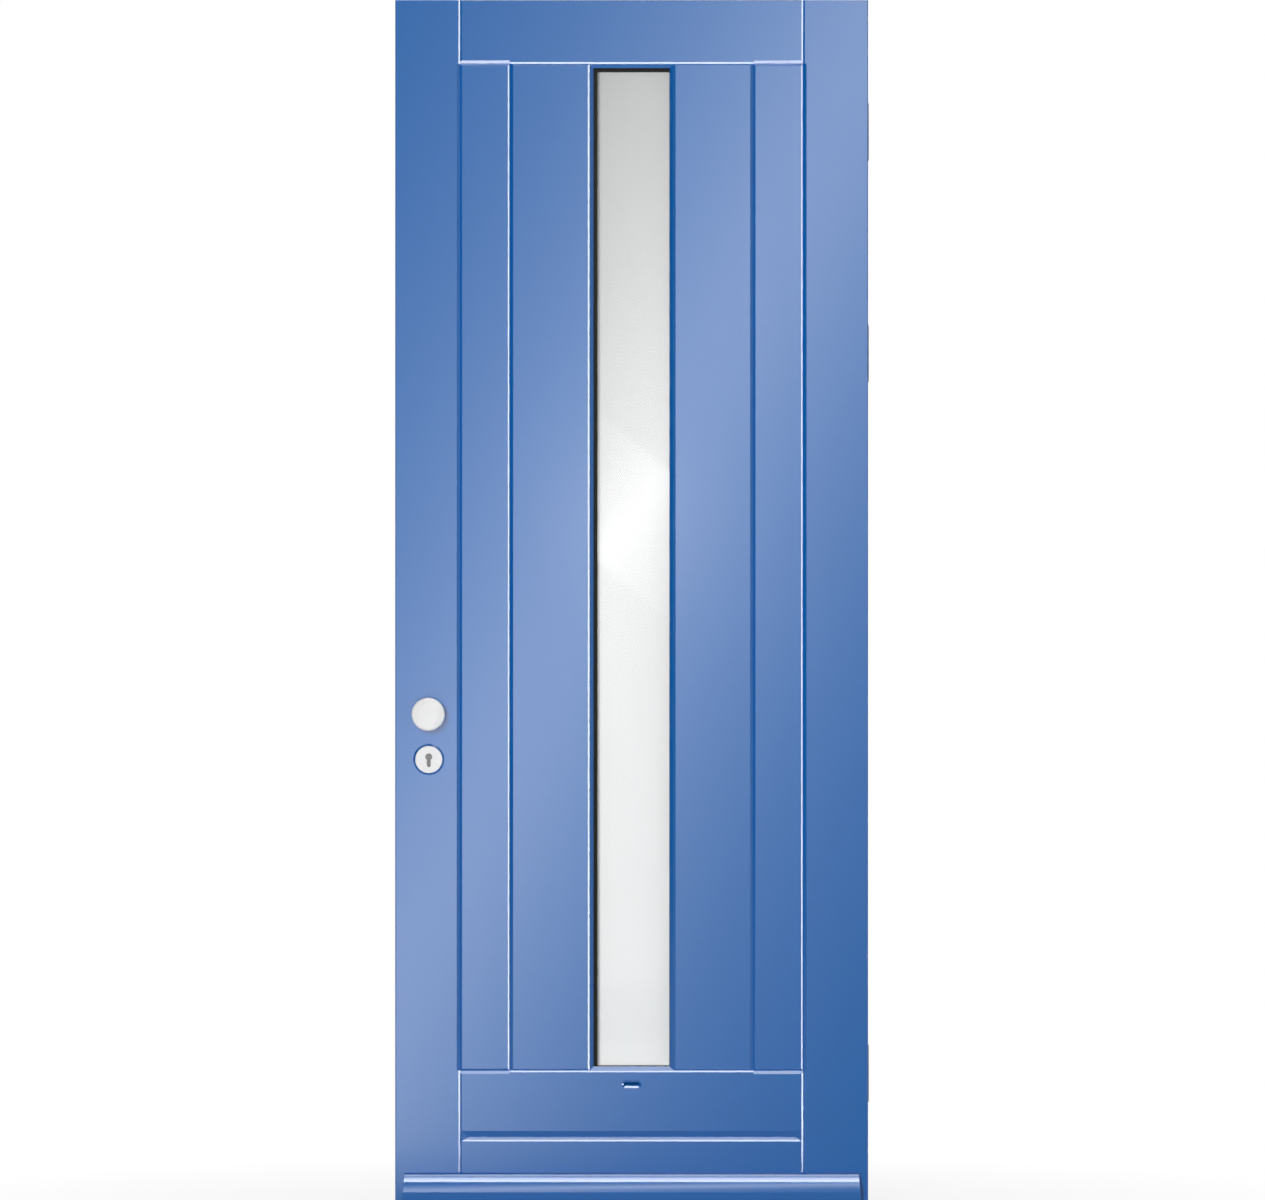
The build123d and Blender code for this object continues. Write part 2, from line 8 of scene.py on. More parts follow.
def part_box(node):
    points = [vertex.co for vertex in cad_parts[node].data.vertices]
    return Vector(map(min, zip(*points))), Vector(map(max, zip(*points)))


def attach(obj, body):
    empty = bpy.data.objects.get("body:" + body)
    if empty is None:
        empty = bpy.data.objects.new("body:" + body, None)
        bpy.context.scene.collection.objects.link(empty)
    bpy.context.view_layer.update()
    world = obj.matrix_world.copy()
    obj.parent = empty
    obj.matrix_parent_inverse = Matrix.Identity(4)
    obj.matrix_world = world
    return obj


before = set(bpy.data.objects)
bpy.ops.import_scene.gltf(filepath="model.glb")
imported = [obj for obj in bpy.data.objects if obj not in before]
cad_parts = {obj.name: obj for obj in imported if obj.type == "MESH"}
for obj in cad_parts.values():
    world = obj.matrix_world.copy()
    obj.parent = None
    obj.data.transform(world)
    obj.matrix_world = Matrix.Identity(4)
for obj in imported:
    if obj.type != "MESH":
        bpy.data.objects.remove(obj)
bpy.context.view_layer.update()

# The picture's frame, in pixels, and where the door leaf stands in it
PICTURE_WIDTH = 1265
PICTURE_HEIGHT = 1200
LEAF_LEFT_PIXEL = 395.2
LEAF_RIGHT_PIXEL = 868.1
LENS = 250.0
SENSOR = 36.0

# The light band that runs up across the picture's paint, in its pixels, and how fast it fades each side
BAND_LOW_PIXEL = (430.0, 915.0)
BAND_HIGH_PIXEL = (840.0, 115.0)
BAND_FADE_LEFT = 240.0
BAND_FADE_RIGHT = 210.0
BAND_LEVEL = 7.9

# The light streak that crosses its glass
STREAK_LOW_PIXEL = (595.0, 560.0)
STREAK_HIGH_PIXEL = (668.0, 470.0)
STREAK_FADE = 50.0
STREAK_LEVEL = 3.0

# Colours, linear
PAINT_BLUE = (0.0040, 0.108, 0.364)
PAINT_DEEP = (0.0036, 0.105, 0.357)
ENAMEL_WHITE = (0.78, 0.78, 0.775)
ENAMEL_SHADE = (0.74, 0.74, 0.735)
SEAL_BLACK = (0.011, 0.0105, 0.0095)
SEAL_DUST = (0.016, 0.016, 0.015)
STEEL_PALE = (0.60, 0.60, 0.61)
STEEL_DARK = (0.30, 0.30, 0.31)
NICKEL_DARK = (0.10, 0.10, 0.102)
NICKEL_DARK_LINES = (0.07, 0.07, 0.072)
NICKEL_PALE = (0.16, 0.16, 0.16)
NICKEL_PALE_LINES = (0.13, 0.13, 0.13)
SPACER_GREY = (0.09, 0.09, 0.09)
SPACER_LINES = (0.06, 0.06, 0.06)
GLASS_TINT = (0.985, 0.99, 0.988)
GLASS_SHADOW_TINT = (0.975, 0.98, 0.978, 1.0)
# The etched pane's colour at its top and at its foot: painted shade, darker at the top and paler at the foot
GLASS_TOP_PAINTED_SHADE = (0.445, 0.445, 0.445)
GLASS_BOTTOM_PAINTED_LIGHT = (0.90, 0.90, 0.89)
FLOOR_PALE = (0.86, 0.86, 0.86)
WHITE = (1.0, 1.0, 1.0, 1.0)

# The paint's gloss, and in metres the depth of each surface's unevenness and the radius of its rounded edges
PAINT_ROUGHNESS = 0.16
PAINT_GRAIN_DEPTH = 0.000004
ENAMEL_GRAIN_DEPTH = 0.00002
METAL_LINE_DEPTH = 0.00003
SEAL_DUST_DEPTH = 0.00005
GLASS_WAVE_DEPTH = 0.0002
ETCH_DEPTH = 0.000001
EDGE_ROUND = 0.0004
ENAMEL_EDGE_ROUND = 0.0006


def new_material(name):
    """An empty node material with its output node."""
    material = bpy.data.materials.new(name)
    material.use_nodes = True
    tree = material.node_tree
    tree.nodes.clear()
    output = tree.nodes.new("ShaderNodeOutputMaterial")
    return material, tree, output


def add_node(tree, kind, operation):
    """Add a math node that does an operation."""
    node = tree.nodes.new(kind)
    node.operation = operation
    return node


def principled(tree, output, colour, roughness, metallic=0.0):
    """A principled shader joined to the output."""
    shader = tree.nodes.new("ShaderNodeBsdfPrincipled")
    shader.inputs["Base Color"].default_value = (*colour, 1.0)
    shader.inputs["Roughness"].default_value = roughness
    shader.inputs["Metallic"].default_value = metallic
    tree.links.new(shader.outputs["BSDF"], output.inputs["Surface"])
    return shader


def piece_coordinates(tree, stretch):
    """Object coordinates, stretched, and shifted for each piece so that no two look alike."""
    coordinates = tree.nodes.new("ShaderNodeTexCoord")
    info = tree.nodes.new("ShaderNodeObjectInfo")
    shift = add_node(tree, "ShaderNodeVectorMath", operation="SCALE")
    shift.inputs[0].default_value = (3.1, 5.7, 9.3)
    tree.links.new(info.outputs["Random"], shift.inputs["Scale"])
    moved = add_node(tree, "ShaderNodeVectorMath", operation="ADD")
    tree.links.new(coordinates.outputs["Object"], moved.inputs[0])
    tree.links.new(shift.outputs["Vector"], moved.inputs[1])
    mapping = tree.nodes.new("ShaderNodeMapping")
    mapping.inputs["Scale"].default_value = stretch
    tree.links.new(moved.outputs["Vector"], mapping.inputs["Vector"])
    return mapping.outputs["Vector"]


def noise(tree, vector, scale, detail=4.0, roughness=0.55):
    """A noise texture's value."""
    texture = tree.nodes.new("ShaderNodeTexNoise")
    texture.inputs["Scale"].default_value = scale
    texture.inputs["Detail"].default_value = detail
    texture.inputs["Roughness"].default_value = roughness
    tree.links.new(vector, texture.inputs["Vector"])
    return texture.outputs["Fac"]


def ranged(tree, value, low, high, from_low=0.3, from_high=0.7):
    """Spread a noise value between low and high."""
    spread = tree.nodes.new("ShaderNodeMapRange")
    spread.inputs["From Min"].default_value = from_low
    spread.inputs["From Max"].default_value = from_high
    spread.inputs["To Min"].default_value = low
    spread.inputs["To Max"].default_value = high
    tree.links.new(value, spread.inputs["Value"])
    return spread.outputs["Result"]


def mix_colour(tree, factor, first, second):
    """Mix two colours by a value."""
    mix = tree.nodes.new("ShaderNodeMix")
    mix.data_type = "RGBA"
    mix.inputs["A"].default_value = (*first, 1.0)
    mix.inputs["B"].default_value = (*second, 1.0)
    tree.links.new(factor, mix.inputs["Factor"])
    return mix.outputs["Result"]


def bump(tree, height, distance, strength=1.0, normal=None):
    """A bump from a height value, over another normal if one is given."""
    node = tree.nodes.new("ShaderNodeBump")
    node.inputs["Distance"].default_value = distance
    node.inputs["Strength"].default_value = strength
    tree.links.new(height, node.inputs["Height"])
    if normal is not None:
        tree.links.new(normal, node.inputs["Normal"])
    return node.outputs["Normal"]


def rounded_edges(tree, radius):
    """A normal that rounds every hard edge by radius."""
    bevel = tree.nodes.new("ShaderNodeBevel")
    bevel.samples = 6
    bevel.inputs["Radius"].default_value = radius
    return bevel.outputs["Normal"]


def painted_timber(name, grain):
    """Semi-gloss blue paint on planed timber; grain is the stretch that lays the grain along the piece."""
    material, tree, output = new_material(name)
    shader = principled(tree, output, PAINT_BLUE, PAINT_ROUGHNESS)
    along = piece_coordinates(tree, grain)
    even = piece_coordinates(tree, (1.0, 1.0, 1.0))
    cloud = noise(tree, even, 2.2, 3.0)
    colour = mix_colour(tree, ranged(tree, cloud, 0.0, 1.0), PAINT_BLUE, PAINT_DEEP)
    tree.links.new(colour, shader.inputs["Base Color"])
    streaks = noise(tree, along, 26.0, 5.0)
    gloss = ranged(tree, streaks, PAINT_ROUGHNESS - 0.01, PAINT_ROUGHNESS + 0.01)
    tree.links.new(gloss, shader.inputs["Roughness"])
    round_normal = rounded_edges(tree, EDGE_ROUND)
    tree.links.new(bump(tree, streaks, PAINT_GRAIN_DEPTH, 0.4, round_normal), shader.inputs["Normal"])
    return material


def enamel(name):
    """White stove-enamelled metal with a faint unevenness."""
    material, tree, output = new_material(name)
    shader = principled(tree, output, ENAMEL_WHITE, 0.3)
    shader.inputs["Specular IOR Level"].default_value = 0.3
    even = piece_coordinates(tree, (1.0, 1.0, 1.0))
    cloud = noise(tree, even, 45.0, 3.0)
    colour = mix_colour(tree, ranged(tree, cloud, 0.0, 0.35), ENAMEL_WHITE, ENAMEL_SHADE)
    tree.links.new(colour, shader.inputs["Base Color"])
    tree.links.new(ranged(tree, cloud, 0.26, 0.36), shader.inputs["Roughness"])
    fine = noise(tree, even, 700.0, 2.0)
    round_normal = rounded_edges(tree, ENAMEL_EDGE_ROUND)
    tree.links.new(bump(tree, fine, ENAMEL_GRAIN_DEPTH, 0.3, round_normal), shader.inputs["Normal"])
    return material


def brushed_metal(name, bright, dark, stretch, roughness):
    """Metal with fine drawn lines along one direction."""
    material, tree, output = new_material(name)
    shader = principled(tree, output, bright, roughness, metallic=1.0)
    lines = piece_coordinates(tree, stretch)
    scratch = noise(tree, lines, 60.0, 6.0, 0.7)
    colour = mix_colour(tree, ranged(tree, scratch, 0.0, 1.0), bright, dark)
    tree.links.new(colour, shader.inputs["Base Color"])
    tree.links.new(ranged(tree, scratch, roughness - 0.06, roughness + 0.1), shader.inputs["Roughness"])
    round_normal = rounded_edges(tree, EDGE_ROUND)
    tree.links.new(bump(tree, scratch, METAL_LINE_DEPTH, 0.4, round_normal), shader.inputs["Normal"])
    return material


def rubber(name):
    """Matte black extruded seal."""
    material, tree, output = new_material(name)
    shader = principled(tree, output, SEAL_BLACK, 0.62)
    shader.inputs["Specular IOR Level"].default_value = 0.08
    even = piece_coordinates(tree, (1.0, 1.0, 1.0))
    dust = noise(tree, even, 160.0, 4.0)
    colour = mix_colour(tree, ranged(tree, dust, 0.0, 1.0), SEAL_BLACK, SEAL_DUST)
    tree.links.new(colour, shader.inputs["Base Color"])
    tree.links.new(ranged(tree, dust, 0.55, 0.72), shader.inputs["Roughness"])
    tree.links.new(bump(tree, dust, SEAL_DUST_DEPTH, 0.4), shader.inputs["Normal"])
    return material


def clear_glass(name):
    """Clear float glass that lets lamp light through to what is behind it."""
    material, tree, output = new_material(name)
    shader = principled(tree, output, GLASS_TINT, 0.02)
    shader.inputs["Transmission Weight"].default_value = 1.0
    shader.inputs["IOR"].default_value = 1.5
    even = piece_coordinates(tree, (1.0, 1.0, 1.0))
    wave = noise(tree, even, 3.0, 1.0)
    tree.links.new(bump(tree, wave, GLASS_WAVE_DEPTH, 0.12), shader.inputs["Normal"])
    clear = tree.nodes.new("ShaderNodeBsdfTransparent")
    clear.inputs["Color"].default_value = GLASS_SHADOW_TINT
    path = tree.nodes.new("ShaderNodeLightPath")
    mix = tree.nodes.new("ShaderNodeMixShader")
    tree.links.new(path.outputs["Is Shadow Ray"], mix.inputs["Fac"])
    tree.links.new(shader.outputs["BSDF"], mix.inputs[1])
    tree.links.new(clear.outputs["BSDF"], mix.inputs[2])
    tree.links.new(mix.outputs["Shader"], output.inputs["Surface"])
    return material


def satin_glass_painted_shade(name, low, high):
    """Etched glass, not seen through, whose colour pales evenly from the height high down to the height low:
    painted shade that darkens the pane towards its top.
    """
    material, tree, output = new_material(name)
    shader = principled(tree, output, GLASS_BOTTOM_PAINTED_LIGHT, 0.45)
    shader.inputs["Specular IOR Level"].default_value = 0.05
    coordinates = tree.nodes.new("ShaderNodeTexCoord")
    parts = tree.nodes.new("ShaderNodeSeparateXYZ")
    tree.links.new(coordinates.outputs["Object"], parts.inputs["Vector"])
    # Painted shade: the pane's colour darkens from its foot up to its top
    painted_shade_rise = ranged(tree, parts.outputs["Z"], 0.0, 1.0, low, high)
    tree.links.new(mix_colour(tree, painted_shade_rise, GLASS_BOTTOM_PAINTED_LIGHT, GLASS_TOP_PAINTED_SHADE), shader.inputs["Base Color"])
    even = piece_coordinates(tree, (1.0, 1.0, 1.0))
    etch = noise(tree, even, 900.0, 2.0)
    tree.links.new(ranged(tree, etch, 0.48, 0.50), shader.inputs["Roughness"])
    tree.links.new(bump(tree, etch, ETCH_DEPTH, 0.2), shader.inputs["Normal"])
    return material


def white_stage(name, colour, glow, near, far):
    """A pale floor: lit near the object, and more and more its own white from near to far away from it."""
    material, tree, output = new_material(name)
    lit = tree.nodes.new("ShaderNodeBsdfDiffuse")
    lit.inputs["Color"].default_value = (*colour, 1.0)
    white = tree.nodes.new("ShaderNodeEmission")
    white.inputs["Color"].default_value = WHITE
    white.inputs["Strength"].default_value = 1.0
    path = tree.nodes.new("ShaderNodeLightPath")
    coordinates = tree.nodes.new("ShaderNodeTexCoord")
    away = add_node(tree, "ShaderNodeVectorMath", operation="LENGTH")
    tree.links.new(coordinates.outputs["Object"], away.inputs[0])
    own_white = ranged(tree, away.outputs["Value"], glow, 1.0, near, far)
    share = add_node(tree, "ShaderNodeMath", operation="MULTIPLY")
    tree.links.new(path.outputs["Is Camera Ray"], share.inputs[0])
    tree.links.new(own_white, share.inputs[1])
    mix = tree.nodes.new("ShaderNodeMixShader")
    tree.links.new(share.outputs["Value"], mix.inputs["Fac"])
    tree.links.new(lit.outputs["BSDF"], mix.inputs[1])
    tree.links.new(white.outputs["Emission"], mix.inputs[2])
    tree.links.new(mix.outputs["Shader"], output.inputs["Surface"])
    return material


def card_material(name, level):
    """A studio card of one even brightness, seen only in reflections."""
    material, tree, output = new_material(name)
    glow = tree.nodes.new("ShaderNodeEmission")
    glow.inputs["Color"].default_value = WHITE
    glow.inputs["Strength"].default_value = level
    tree.links.new(glow.outputs["Emission"], output.inputs["Surface"])
    material.cycles.emission_sampling = "NONE"
    return material


def graded_card_material(name, level, fade_left, fade_right, seen_through):
    """A studio card brightest along its middle, fading away left and right of it, over what is behind it."""
    material, tree, output = new_material(name)
    coordinates = tree.nodes.new("ShaderNodeTexCoord")
    parts = tree.nodes.new("ShaderNodeSeparateXYZ")
    tree.links.new(coordinates.outputs["Object"], parts.inputs["Vector"])
    sides = []
    for fade in (fade_right, -fade_left):
        side = add_node(tree, "ShaderNodeMath", operation="DIVIDE")
        tree.links.new(parts.outputs["X"], side.inputs[0])
        side.inputs[1].default_value = fade
        sides.append(side)
    away = add_node(tree, "ShaderNodeMath", operation="MAXIMUM")
    tree.links.new(sides[0].outputs["Value"], away.inputs[0])
    tree.links.new(sides[1].outputs["Value"], away.inputs[1])
    less = add_node(tree, "ShaderNodeMath", operation="MULTIPLY")
    tree.links.new(away.outputs["Value"], less.inputs[0])
    less.inputs[1].default_value = -1.0
    fall = add_node(tree, "ShaderNodeMath", operation="EXPONENT")
    tree.links.new(less.outputs["Value"], fall.inputs[0])
    bright = add_node(tree, "ShaderNodeMath", operation="MULTIPLY")
    tree.links.new(fall.outputs["Value"], bright.inputs[0])
    bright.inputs[1].default_value = level
    glow = tree.nodes.new("ShaderNodeEmission")
    glow.inputs["Color"].default_value = WHITE
    tree.links.new(bright.outputs["Value"], glow.inputs["Strength"])
    through = tree.nodes.new("ShaderNodeBsdfTransparent")
    through.inputs["Color"].default_value = (seen_through, seen_through, seen_through, 1.0)
    total = tree.nodes.new("ShaderNodeAddShader")
    tree.links.new(glow.outputs["Emission"], total.inputs[0])
    tree.links.new(through.outputs["BSDF"], total.inputs[1])
    tree.links.new(total.outputs["Shader"], output.inputs["Surface"])
    material.cycles.emission_sampling = "NONE"
    return material


def dress(node, material):
    """Give a CAD node its finish."""
    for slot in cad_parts[node].material_slots:
        slot.material = material


UPRIGHT_GRAIN = (14.0, 14.0, 0.35)
LEVEL_GRAIN = (0.35, 14.0, 14.0)
upright_paint = painted_timber("paint_upright", UPRIGHT_GRAIN)
level_paint = painted_timber("paint_level", LEVEL_GRAIN)
white_enamel = enamel("white_enamel")
steel = brushed_metal("satin_steel", STEEL_PALE, STEEL_DARK, (1.0, 1.0, 0.05), 0.34)
dark_nickel = brushed_metal("dark_nickel", NICKEL_DARK, NICKEL_DARK_LINES, (1.0, 1.0, 1.0), 0.45)
pale_nickel = brushed_metal("pale_nickel", NICKEL_PALE, NICKEL_PALE_LINES, (1.0, 1.0, 1.0), 0.5)
seal = rubber("black_seal")
float_glass = clear_glass("float_glass")
pane_low, pane_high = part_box("inside_pane")
# The etched pane, its colour darkened towards the top as painted shade
etched_glass_painted_shade = satin_glass_painted_shade("etched_glass_painted_shade", pane_low[2], pane_high[2])
spacer_metal = brushed_metal("spacer_bar", SPACER_GREY, SPACER_LINES, (1.0, 1.0, 0.1), 0.5)

for name in ("lock_stile", "hinge_stile", "left_narrow_board", "right_narrow_board",
             "left_wide_board", "right_wide_board"):
    dress(name, upright_paint)
for name in ("top_rail", "bottom_rail", "weatherboard"):
    dress(name, level_paint)
for face in ("outside", "inside"):
    for side, paint in (("left", upright_paint), ("right", upright_paint),
                        ("top", level_paint), ("bottom", level_paint)):
        dress(f"{face}_bead_{side}", paint)
    dress(f"{face}_knob", white_enamel)
    dress(f"{face}_rose", white_enamel)
    dress(f"{face}_escutcheon", white_enamel)
    dress(f"{face}_key_collar", upright_paint)
    dress(f"{face}_gasket", seal)
dress("key_cylinder", dark_nickel)
dress("outside_pane", float_glass)
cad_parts["outside_pane"].visible_diffuse = False
dress("inside_pane", etched_glass_painted_shade)
dress("glazing_spacer", spacer_metal)
for name in ("lock_case", "latch_bolt", "dead_bolt", "knob_spindle"):
    dress(name, steel)
for place in ("lower", "middle", "upper"):
    for piece in ("frame_leaf", "door_leaf", "pin"):
        dress(f"{place}_hinge_{piece}", white_enamel)


# Small pieces, in metres
SCREW_RADIUS = 0.0042
SCREW_SHANK_RADIUS = 0.0025
SCREW_HEAD_DEPTH = 0.0019
CROSS_REACH = 0.0023
CROSS_HALF_WIDTH = 0.0006
CROSS_DEPTH = 0.0012
CROSS_TAPER = 0.7
SCREW_SINK = 0.0001
HINGE_SCREW_TURN = 0.5
PLATE_THICKNESS = 0.003
PLATE_WIDTH = 0.032
SCREW_ROW_HALF = 0.008
SCREW_COLUMN_HALF = 0.030
FOREND_SCREW_SIZE = 0.72
FOREND_SCREW_TURN = 0.3
FOREND_INSET = 0.012
PLUG_RADIUS = 0.0044
PLUG_THICKNESS = 0.0004
KEYWAY_HALF_WIDTH = 0.0008
KEYWAY_TOP = 0.0024
ROUND_STEPS = 40


def new_piece(name, mesh, material, place, body):
    """Add a mesh to the scene at place, riding a body, with a given finish."""
    mesh.materials.append(material)
    piece = bpy.data.objects.new(name, mesh)
    bpy.context.scene.collection.objects.link(piece)
    piece.matrix_world = place
    bpy.context.view_layer.update()
    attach(piece, body)


def loop_of(bm, points):
    """A closed loop of edges through points."""
    corners = [bm.verts.new(point) for point in points]
    return [bm.edges.new((corners[index - 1], corners[index])) for index in range(len(corners))]


def round_points(radius, height):
    """Points round a circle about Z."""
    turns = [2 * math.pi * step / ROUND_STEPS for step in range(ROUND_STEPS)]
    return [(radius * math.cos(turn), radius * math.sin(turn), height) for turn in turns]


def screw_mesh(name):
    """A countersunk screw head, its face at z 0, with a cross recess."""
    bm = bmesh.new()
    rim = loop_of(bm, round_points(SCREW_RADIUS, 0.0))
    arm, long = CROSS_HALF_WIDTH, CROSS_REACH
    quarter = [(long, -arm), (long, arm), (arm, arm)]
    cross = []
    for number in range(4):
        turn = Matrix.Rotation(number * math.pi / 2, 2)
        cross += [turn @ Vector(point) for point in quarter]
    recess = loop_of(bm, [(point.x, point.y, 0.0) for point in cross])
    bmesh.ops.triangle_fill(bm, use_beauty=True, edges=rim + recess, normal=(0, 0, 1))
    deep = [point * CROSS_TAPER for point in cross]
    floor_loop = loop_of(bm, [(point.x, point.y, -CROSS_DEPTH) for point in deep])
    bmesh.ops.bridge_loops(bm, edges=recess + floor_loop)
    bmesh.ops.triangle_fill(bm, use_beauty=True, edges=floor_loop, normal=(0, 0, 1))
    shank = loop_of(bm, round_points(SCREW_SHANK_RADIUS, -SCREW_HEAD_DEPTH))
    bmesh.ops.bridge_loops(bm, edges=rim + shank)
    bmesh.ops.triangle_fill(bm, use_beauty=True, edges=shank, normal=(0, 0, -1))
    bmesh.ops.recalc_face_normals(bm, faces=bm.faces)
    mesh = bpy.data.meshes.new(name)
    bm.to_mesh(mesh)
    bm.free()
    return mesh


def plug_mesh(name):
    """The key plug's end: a thin disc with its keyway open at the bottom."""
    bm = bmesh.new()
    open_half = math.asin(KEYWAY_HALF_WIDTH / PLUG_RADIUS)
    sweep = 2 * math.pi - 2 * open_half
    turns = [open_half - math.pi / 2 + sweep * step / ROUND_STEPS for step in range(ROUND_STEPS + 1)]
    outline = [(PLUG_RADIUS * math.cos(turn), PLUG_RADIUS * math.sin(turn), 0.0) for turn in turns]
    outline += [(-KEYWAY_HALF_WIDTH, KEYWAY_TOP, 0.0), (KEYWAY_HALF_WIDTH, KEYWAY_TOP, 0.0)]
    back = bm.faces.new([bm.verts.new(point) for point in outline])
    raised = bmesh.ops.extrude_face_region(bm, geom=[back])["geom"]
    moved = [item for item in raised if isinstance(item, bmesh.types.BMVert)]
    bmesh.ops.translate(bm, verts=moved, vec=(0, 0, PLUG_THICKNESS))
    bmesh.ops.recalc_face_normals(bm, faces=bm.faces)
    mesh = bpy.data.meshes.new(name)
    bm.to_mesh(mesh)
    bm.free()
    return mesh


def facing(place, direction, turn=0.0):
    """A matrix at place whose Z points along direction, with Y kept upright, turned about Z."""
    z_axis = Vector(direction).normalized()
    x_axis = Vector((0, 0, 1)).cross(z_axis).normalized()
    y_axis = z_axis.cross(x_axis)
    axes = Matrix((x_axis, y_axis, z_axis)).transposed().to_4x4()
    return Matrix.Translation(Vector(place)) @ axes @ Matrix.Rotation(turn, 4, "Z")


for place in ("lower", "middle", "upper"):
    for leaf, side, body in (("frame", 1, "hinge_plates"), ("door", -1, "leaf")):
        low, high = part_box(f"{place}_hinge_{leaf}_leaf")
        face_x = high[0] - PLATE_THICKNESS if side > 0 else low[0] + PLATE_THICKNESS
        middle_y = low[1] + PLATE_WIDTH / 2
        middle_z = (low[2] + high[2]) / 2
        number = 0
        for row in (-SCREW_ROW_HALF, SCREW_ROW_HALF):
            for column in (-SCREW_COLUMN_HALF, SCREW_COLUMN_HALF):
                number += 1
                name = f"{place}_{leaf}_screw_{number}"
                spot = (face_x + side * SCREW_SINK, middle_y + row, middle_z + column)
                where = facing(spot, (-side, 0, 0), turn=HINGE_SCREW_TURN * number)
                new_piece(name, screw_mesh(name), white_enamel, where, body)

forend_low, forend_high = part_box("lock_case")
key_low, key_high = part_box("key_cylinder")
forend_screws = {
    "top": forend_high[2] - FOREND_INSET,
    "bottom": forend_low[2] + FOREND_INSET,
    "cylinder": (key_low[2] + key_high[2]) / 2,
}
for end, height in forend_screws.items():
    name = f"forend_screw_{end}"
    spot = (forend_low[0] - SCREW_SINK, (forend_low[1] + forend_high[1]) / 2, height)
    where = facing(spot, (-1, 0, 0), turn=FOREND_SCREW_TURN) @ Matrix.Scale(FOREND_SCREW_SIZE, 4)
    new_piece(name, screw_mesh(name), steel, where, "leaf")

key_x = (key_low[0] + key_high[0]) / 2
key_round_z = key_high[2] - (key_high[0] - key_low[0]) / 2
for face, y, side in (("outside", key_low[1], -1), ("inside", key_high[1], 1)):
    name = f"{face}_key_plug"
    where = facing((key_x, y, key_round_z), (0, side, 0))
    new_piece(name, plug_mesh(name), pale_nickel, where, "leaf")


# Camera: straight on to the outside, framed as in the picture
leaf_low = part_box("lock_stile")[0]
leaf_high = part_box("hinge_stile")[1]
leaf_width = leaf_high[0] - leaf_low[0]
scale = leaf_width / (LEAF_RIGHT_PIXEL - LEAF_LEFT_PIXEL)
frame_width = PICTURE_WIDTH * scale
camera_x = leaf_low[0] + (PICTURE_WIDTH / 2 - LEAF_LEFT_PIXEL) * scale
camera_z = leaf_high[2] - PICTURE_HEIGHT / 2 * scale
distance = LENS / SENSOR * frame_width
camera_data = bpy.data.cameras.new("camera")
camera_data.lens = LENS
camera_data.sensor_width = SENSOR
camera = bpy.data.objects.new("camera", camera_data)
camera.location = (camera_x, leaf_low[1] - distance, camera_z)
camera.rotation_euler = (math.radians(90), 0, 0)
bpy.context.scene.collection.objects.link(camera)
bpy.context.scene.camera = camera

MIDDLE = Vector(((leaf_low[0] + leaf_high[0]) / 2, 0, (leaf_low[2] + leaf_high[2]) / 2))


def area_lamp(name, offset, size, power, glints=True):
    """A soft rectangular lamp aimed at the middle of the door, which may also glint in it."""
    data = bpy.data.lights.new(name, "AREA")
    data.shape = "RECTANGLE"
    data.size = size[0]
    data.size_y = size[1]
    data.energy = power
    lamp = bpy.data.objects.new(name, data)
    aim = (-Vector(offset)).to_track_quat("-Z", "Y")
    lamp.matrix_world = Matrix.Translation(MIDDLE + Vector(offset)) @ aim.to_matrix().to_4x4()
    lamp.visible_camera = False
    lamp.visible_glossy = glints
    bpy.context.scene.collection.objects.link(lamp)


def band_point(pixel, reach):
    """Where the camera's view of a picture pixel, mirrored in the door, comes to reach metres before it."""
    spread = 1 + reach / distance
    across = (pixel[0] - PICTURE_WIDTH / 2) * scale
    up = (PICTURE_HEIGHT / 2 - pixel[1]) * scale
    return Vector((camera_x + across * spread, leaf_low[1] - reach, camera_z + up * spread))


area_lamp("soft_key", (-1.0, -5.6, 0.55), (0.8, 0.8), 205, glints=False)
area_lamp("side_fill", (3.8, -5.6, 0.0), (3.0, 1.6), 28, glints=False)
area_lamp("back_fill", (1.6, 5.5, 2.6), (2.5, 2.5), 200)

AMBIENT_LEVEL = 0.15
BACKDROP_LEVEL = 1.0
world = bpy.data.worlds.new("studio")
bpy.context.scene.world = world
world.use_nodes = True
tree = world.node_tree
tree.nodes.clear()
world_out = tree.nodes.new("ShaderNodeOutputWorld")
ambient = tree.nodes.new("ShaderNodeBackground")
ambient.inputs["Color"].default_value = WHITE
ambient.inputs["Strength"].default_value = AMBIENT_LEVEL
backdrop = tree.nodes.new("ShaderNodeBackground")
backdrop.inputs["Color"].default_value = WHITE
backdrop.inputs["Strength"].default_value = BACKDROP_LEVEL
path = tree.nodes.new("ShaderNodeLightPath")
seen = add_node(tree, "ShaderNodeMath", operation="MAXIMUM")
tree.links.new(path.outputs["Is Camera Ray"], seen.inputs[0])
tree.links.new(path.outputs["Is Glossy Ray"], seen.inputs[1])
world_mix = tree.nodes.new("ShaderNodeMixShader")
tree.links.new(seen.outputs["Value"], world_mix.inputs["Fac"])
tree.links.new(ambient.outputs["Background"], world_mix.inputs[1])
tree.links.new(backdrop.outputs["Background"], world_mix.inputs[2])
tree.links.new(world_mix.outputs["Shader"], world_out.inputs["Surface"])


def sheet_object(name, corners, material):
    """A flat four-cornered sheet."""
    mesh = bpy.data.meshes.new(name)
    mesh.from_pydata(corners, [], [(0, 1, 2, 3)])
    mesh.materials.append(material)
    sheet = bpy.data.objects.new(name, mesh)
    bpy.context.scene.collection.objects.link(sheet)
    return sheet


def flat_corners(half_width, half_height):
    """The corners of a flat rectangle about its middle."""
    return [(-half_width, -half_height, 0), (half_width, -half_height, 0),
            (half_width, half_height, 0), (-half_width, half_height, 0)]


